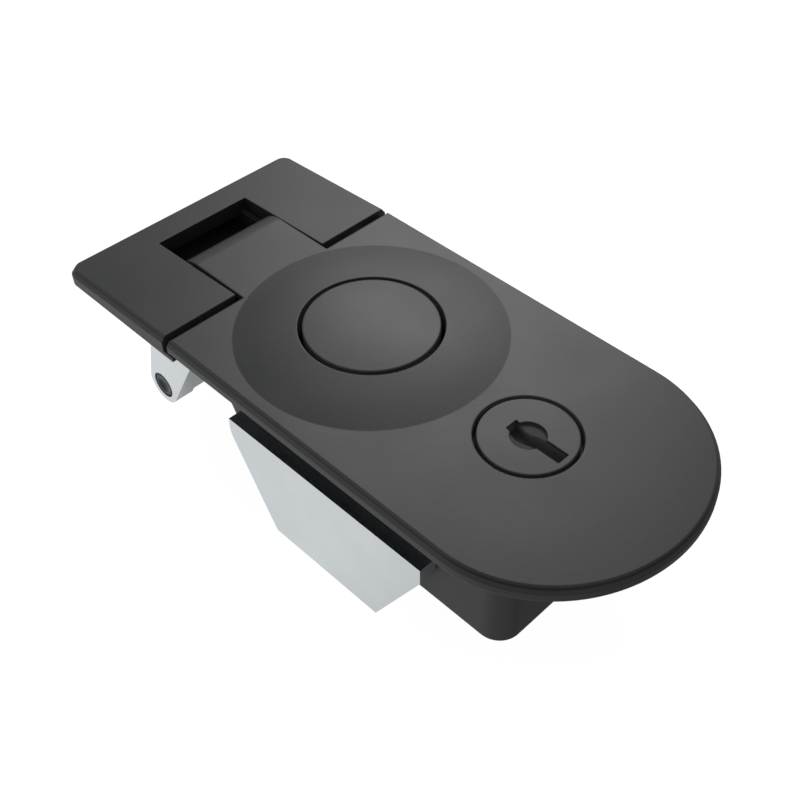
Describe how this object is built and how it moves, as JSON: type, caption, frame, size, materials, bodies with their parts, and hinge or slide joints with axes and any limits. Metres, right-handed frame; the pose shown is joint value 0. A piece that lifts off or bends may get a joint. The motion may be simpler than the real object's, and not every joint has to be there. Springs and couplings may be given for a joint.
{
  "type": "lever latch",
  "caption": "Flush lever latch: flange with domed push button and key lock, a U-shaped lever that lifts at one end, a hook pawl below, and a clamp that grips the panel.",
  "frame": {"origin": "button axis on the panel seat, the plane of the flange's underside", "axes": "+X along the latch to the lock and the round end, +Y across it, +Z out of the panel"},
  "size_m": [0.1287, 0.0578, 0.0377],
  "materials": {
    "black_coat": "satin powder coat on die-cast metal",
    "zinc_plate": "bright zinc plating",
    "steel": "plain steel",
    "spring_steel": "spring wire"
  },
  "bodies": {
    "housing": {"housing": "black_coat", "hinge_pin": "steel", "latch_bracket": "zinc_plate", "bracket_screws": "steel", "pawl_pin": "steel", "pawl_spacers": "steel", "kick_spring": "spring_steel", "button_spring": "spring_steel", "guide_bridge": "zinc_plate", "bridge_screws": "steel", "catch_spring": "spring_steel", "rear_cover": "zinc_plate", "cover_screws": "steel", "lock_sleeve": "steel", "lock_ring": "spring_steel", "mounting_clamp": "zinc_plate", "clamp_screws": "steel", "clamp_washers": "zinc_plate"},
    "lever": {"lever": "black_coat", "drive_pin": "steel", "catch_pin": "steel"},
    "pawl": {"pawl": "zinc_plate"},
    "button": {"push_button": "black_coat"},
    "catch": {"catch_plate": "zinc_plate"},
    "lock": {"lock_plug": "black_coat", "lock_cam": "zinc_plate", "cam_screw": "steel"}
  },
  "joints": [
    {"name": "lever_lift", "type": "hinge", "parent": "housing", "child": "lever", "pos_m": [-0.0295, 0, 0.0005], "axis": [0, 1, 0], "range_deg": [0, 48]},
    {"name": "pawl_swing", "type": "hinge", "parent": "housing", "child": "pawl", "pos_m": [-0.0376, 0, -0.0202], "axis": [0, 1, 0], "range_deg": [-48, 0]},
    {"name": "button_press", "type": "slide", "parent": "housing", "child": "button", "axis": [0, 0, -1], "range_m": [0, 0.0035], "stiffness_N_per_m": 800, "springref_m": -0.002, "deforming": ["button_spring"]},
    {"name": "catch_slide", "type": "slide", "parent": "housing", "child": "catch", "axis": [1, 0, 0], "range_m": [0, 0.0035], "deforming": ["catch_spring"]},
    {"name": "key_turn", "type": "hinge", "parent": "housing", "child": "lock", "pos_m": [0.0381, 0, 0], "axis": [0, 0, 1], "range_deg": [0, 90]}
  ],
  "couplings": [
    {"joint": "pawl_swing", "follows": "lever_lift", "ratio": -1},
    {"joint": "catch_slide", "follows": "button_press", "ratio": 1}
  ]
}
